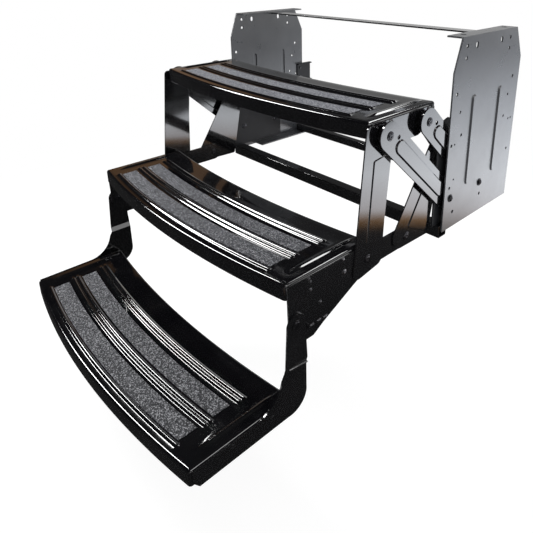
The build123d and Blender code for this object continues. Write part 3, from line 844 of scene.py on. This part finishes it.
for side, hand in ((1, "right"), (-1, "left")):
    face, head_seat = side * gusset_face, side * (gusset_face + stop_washer_size[1])
    heads = bmesh.new()
    turned(heads, rivet_at, face, side, sized(rivet_profile, *gusset_rivet_size))
    turned(heads, bolt_at, face, side, sized(washer_profile, *stop_washer_size))
    turned(heads, bolt_at, head_seat, side, sized(hexagon_profile, *stop_head_size), hexagon_sides)
    piece = new_piece("gusset_heads_" + hand, heads, bolt_metal, "middle_step")
    sharpen(piece, bolt_sharpness)
    print(piece.name, len(piece.data.polygons), "faces")

# %% [markdown]
# ## The crease of the bottom arms
# A crease crosses each bottom arm where its upper part steps outwards, and it catches the light
# as a thin bright curve. It is made as a round bar sunk into the arm, so that only a third of a
# millimetre stands out. That is enough for a line of light and leaves the arm's shape as it is.
# The bar is drawn as a curve with a round section, which is then turned into a mesh.

# %% Crease the arms
crease_radius, crease_stand = 0.0016, 0.0003
crease_route = ((-0.493, -0.4600), (-0.484, -0.4610), (-0.474, -0.4625), (-0.464, -0.4640), (-0.456, -0.4650))


def bar_mesh(name, points, radius):
    """The mesh of a round bar that follows a smooth route."""
    line = bpy.data.curves.new(name + "_line", "CURVE")
    line.dimensions = "3D"
    spline = line.splines.new("NURBS")
    spline.points.add(len(points) - 1)
    for spot, point in zip(spline.points, points):
        spot.co = (*point, 1.0)
    spline.order_u = 3
    spline.use_endpoint_u = True
    line.bevel_depth = radius
    line.bevel_resolution = 3
    line.resolution_u = 6
    line.use_fill_caps = True
    guide = bpy.data.objects.new(name + "_line", line)
    mesh = bpy.data.meshes.new_from_object(guide)
    bpy.data.objects.remove(guide)
    bpy.data.curves.remove(line)
    mesh.name = name
    return mesh


arm_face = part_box("bottom_arm_right")[1].x
for side, hand in ((1, "right"), (-1, "left")):
    x = side * (arm_face + crease_stand - crease_radius)
    bar = bar_mesh("arm_crease_" + hand, [(x, y, z) for y, z in crease_route], crease_radius)
    piece = hang("arm_crease_" + hand, bar, gloss_black, "bottom_step")
    print(piece.name, len(piece.data.polygons), "faces")

# %% [markdown]
# ## Light that depends on who looks
# A studio can show the camera one thing and a reflection another. The Light Path node tells which
# kind of ray arrives, and a mix shader chooses by it. These helpers add the mix, the sum of two
# shaders, a surface that shines by itself, and a little arithmetic with values and directions.

# %% Helpers for the studio
def mix_by(tree, amount, first, second):
    """One shader or the other by an amount from 0 to 1."""
    mixer = tree.nodes.new("ShaderNodeMixShader")
    tree.links.new(amount, mixer.inputs[0])
    tree.links.new(first, mixer.inputs[1])
    tree.links.new(second, mixer.inputs[2])
    return mixer.outputs[0]


def add_up(tree, first, second):
    """Two shaders on top of each other."""
    total = tree.nodes.new("ShaderNodeAddShader")
    tree.links.new(first, total.inputs[0])
    tree.links.new(second, total.inputs[1])
    return total.outputs[0]


def combine(tree, operation, first, second):
    """Two values combined, such as the larger of them or their product."""
    both = tree.nodes.new("ShaderNodeMath")
    both.operation = operation
    tree.links.new(first, both.inputs[0])
    tree.links.new(second, both.inputs[1])
    return both.outputs[0]


def along(tree, place, direction):
    """How far a place lies along a direction."""
    product = tree.nodes.new("ShaderNodeVectorMath")
    product.operation = "DOT_PRODUCT"
    product.inputs[1].default_value = direction
    tree.links.new(place, product.inputs[0])
    return product.outputs["Value"]


def shine(tree, kind, strength, colour=None):
    """A surface or a sky that shines by itself, white or in a colour that is linked to it."""
    light = tree.nodes.new(kind)
    set_sockets(light, {"Strength": strength, "Color": (1.0, 1.0, 1.0, 1.0)})
    if colour is not None:
        tree.links.new(colour, light.inputs["Color"])
    return light


def rays(tree):
    """Whether a ray comes straight from the camera or through glass, and whether it is a reflection."""
    path = tree.nodes.new("ShaderNodeLightPath")
    seen = combine(tree, "MAXIMUM", path.outputs["Is Camera Ray"], path.outputs["Is Transmission Ray"])
    return seen, path.outputs["Is Glossy Ray"]


studio_helpers = (mix_by, add_up, combine, along, shine, rays)
print("studio helpers:", ", ".join(helper.__name__ for helper in studio_helpers))

# %% [markdown]
# ## The floor
# The ground lies one more rise below the bottom tread, as it would under a camper. To the camera it
# is white like the photograph's ground, yet it still takes the soft shadow of the treads near the
# middle, and farther out it fades to plain white. The upright plates mirror the ground, so their
# reflections get a ground of their own, made of painted light and shade: a dark patch of painted
# shade under the step, a tan rim and glowing white paper beyond, whose painted light dims with
# distance and ends on the right. Those bands are what the legs and plates show.

# %% Make the floor's finish
pale_grey = 0.8
paper_grey, paper_glow = 0.25, 0.86
fade_from, fade_to = 0.9, 1.6
ring_reach = 5.0
# The first stops paint the shade under the step, and the farther ones paint light that dims with distance.
ring_colours = (
    (0.0, 0.003), (1.025, 0.015), (1.10, (0.22, 0.12, 0.05)), (1.175, (0.70, 0.68, 0.70)),
    (1.5, (0.92, 0.95, 1.0)), (2.6, (0.60, 0.63, 0.68)), (5.0, (0.20, 0.21, 0.23)))
ring_glow, dark_glow = 2.2, 0.02
towards_back, back_from, back_to = (0.8, 0.6, 0.0), -0.4, 0.5
towards_right, right_from, right_to, right_rest = (1.0, -0.35, 0.0), 0.95, 1.06, 0.05


def to_the_camera(tree, distance):
    """White ground that keeps a soft shadow near the middle."""
    paper = tree.nodes.new("ShaderNodeBsdfDiffuse")
    set_sockets(paper, {"Color": (paper_grey, paper_grey, paper_grey, 1.0)})
    shaded = add_up(tree, paper.outputs[0], shine(tree, "ShaderNodeEmission", paper_glow).outputs[0])
    plain = shine(tree, "ShaderNodeEmission", 1.0).outputs[0]
    return mix_by(tree, remap(tree, distance, fade_from, fade_to, 0.0, 1.0), shaded, plain)


def to_reflections(tree, place, distance):
    """Painted light for reflections: painted shade under the step, a tan rim and white paper that ends on the
    right.
    """
    stops = [(reach / ring_reach, colour) for reach, colour in ring_colours]
    rings = ramp(tree, remap(tree, distance, 0.0, ring_reach, 0.0, 1.0), stops)
    at_back = remap(tree, along(tree, place, towards_back), back_from, back_to, 0.0, 1.0)
    at_left = remap(tree, along(tree, place, towards_right), right_from, right_to, 1.0, right_rest)
    dark = shine(tree, "ShaderNodeEmission", dark_glow).outputs[0]
    bright = shine(tree, "ShaderNodeEmission", ring_glow, rings).outputs[0]
    return mix_by(tree, combine(tree, "MULTIPLY", at_back, at_left), dark, bright)


def floor_finish():
    """White ground for the camera, banded ground for reflections and pale ground for the rest."""
    finish, tree, shader, place = new_finish("pale_floor")
    tree.nodes.remove(shader)
    reach = tree.nodes.new("ShaderNodeVectorMath")
    reach.operation = "LENGTH"
    tree.links.new(place, reach.inputs[0])
    distance = reach.outputs["Value"]
    pale = tree.nodes.new("ShaderNodeBsdfDiffuse")
    set_sockets(pale, {"Color": (pale_grey, pale_grey, pale_grey, 1.0)})
    seen, mirrored = rays(tree)
    unseen = mix_by(tree, mirrored, pale.outputs[0], to_reflections(tree, place, distance))
    surface = mix_by(tree, seen, unseen, to_the_camera(tree, distance))
    tree.links.new(surface, tree.nodes["Material Output"].inputs["Surface"])
    return finish


pale_floor = floor_finish()
print("floor finish:", pale_floor.name)

# %% [markdown]
# ## Lay the floor
# The floor is a large disc centred under the step. It is staging and not a piece of the object.

# %% Lay the floor
ground_gap = 0.203
floor_radius = 9.0
floor_sides = 64

ground = bpy.data.meshes.new("floor")
round_sheet = bmesh.new()
bmesh.ops.create_circle(round_sheet, cap_ends=True, radius=floor_radius, segments=floor_sides)
round_sheet.to_mesh(ground)
round_sheet.free()
ground.materials.append(pale_floor)
floor = bpy.data.objects.new("floor", ground)
bpy.context.scene.collection.objects.link(floor)
floor.location = (0.0, (solid_low.y + solid_high.y) / 2, solid_low.z - ground_gap)
print("floor at", round(floor.location.z, 3))

# %% [markdown]
# ## Lamps
# Gloss black shows what it reflects, so the room matters more than the lamps. A narrow strip lamp on
# the left is mirrored by the near slopes of the beads, and a wide one behind by their far slopes and
# by the rear edges. A soft box on the right lights the plates and legs.

# %% Hang the lamps
lamps_face = (0.0, -0.30, -0.25)


def soft_box(name, place, width, height, watts):
    """A rectangular lamp at place that faces the middle of the step."""
    lamp = bpy.data.lights.new(name, "AREA")
    lamp.shape = "RECTANGLE"
    lamp.size, lamp.size_y = width, height
    lamp.energy = watts
    holder = bpy.data.objects.new(name, lamp)
    bpy.context.scene.collection.objects.link(holder)
    holder.location = place
    holder.rotation_euler = (Vector(place) - Vector(lamps_face)).to_track_quat("Z", "Y").to_euler()
    print(name, "gives", watts, "W")


soft_box("left_strip", (-1.2, -0.95, 1.0), 0.34, 1.3, 23.5)
soft_box("back_strip", (0.6, 1.1, 1.3), 1.4, 0.4, 9.0)
soft_box("right_box", (2.4, 0.1, 0.9), 1.2, 1.2, 9.0)

# %% [markdown]
# ## The room
# To the camera the room is plain white. Reflections see a dark room that grows pale low down behind
# the step, with a small tan patch at the back left, which is what the flat treads of the photograph
# mirror. Everything else gets an even grey light from all sides, which opens the shadows.

# %% Paint the room
upwards = (0.0, 0.0, 1.0)
room_heights = ((0.0, 0.9), (0.12, 0.55), (0.32, 0.10), (0.6, 0.02))
towards_room_back, room_from, room_to = (0.6, 0.8, 0.0), -0.3, 0.7
room_dark, room_bright = 0.02, 1.3
towards_patch, patch_from, patch_to = (-0.86, 0.41, 0.30), 0.965, 0.998
patch_colour = (0.17, 0.09, 0.04)
even_light = 0.5


def make_room():
    """White to the camera. Reflections see it dark, and pale low down behind the step."""
    sky = bpy.data.worlds.new("studio")
    bpy.context.scene.world = sky
    sky.use_nodes = True
    tree = sky.node_tree
    tree.nodes.clear()
    out = tree.nodes.new("ShaderNodeOutputWorld")
    direction = tree.nodes.new("ShaderNodeTexCoord").outputs["Generated"]
    heights = ramp(tree, along(tree, direction, upwards), room_heights)
    graded = shine(tree, "ShaderNodeBackground", 1.0, heights)
    towards = along(tree, direction, towards_room_back)
    strength = remap(tree, towards, room_from, room_to, room_dark, room_bright)
    tree.links.new(strength, graded.inputs["Strength"])
    nearness = remap(tree, along(tree, direction, towards_patch), patch_from, patch_to, 0.0, 1.0)
    tan = ramp(tree, nearness, ((0.0, 0.0), (1.0, patch_colour)))
    patch = shine(tree, "ShaderNodeBackground", 1.0, tan)
    dark_room = add_up(tree, graded.outputs[0], patch.outputs[0])
    even = shine(tree, "ShaderNodeBackground", even_light).outputs[0]
    white = shine(tree, "ShaderNodeBackground", 1.0).outputs[0]
    seen, mirrored = rays(tree)
    unseen = mix_by(tree, mirrored, even, dark_room)
    tree.links.new(mix_by(tree, seen, unseen, white), out.inputs["Surface"])
    return sky


print("room:", make_room().name)
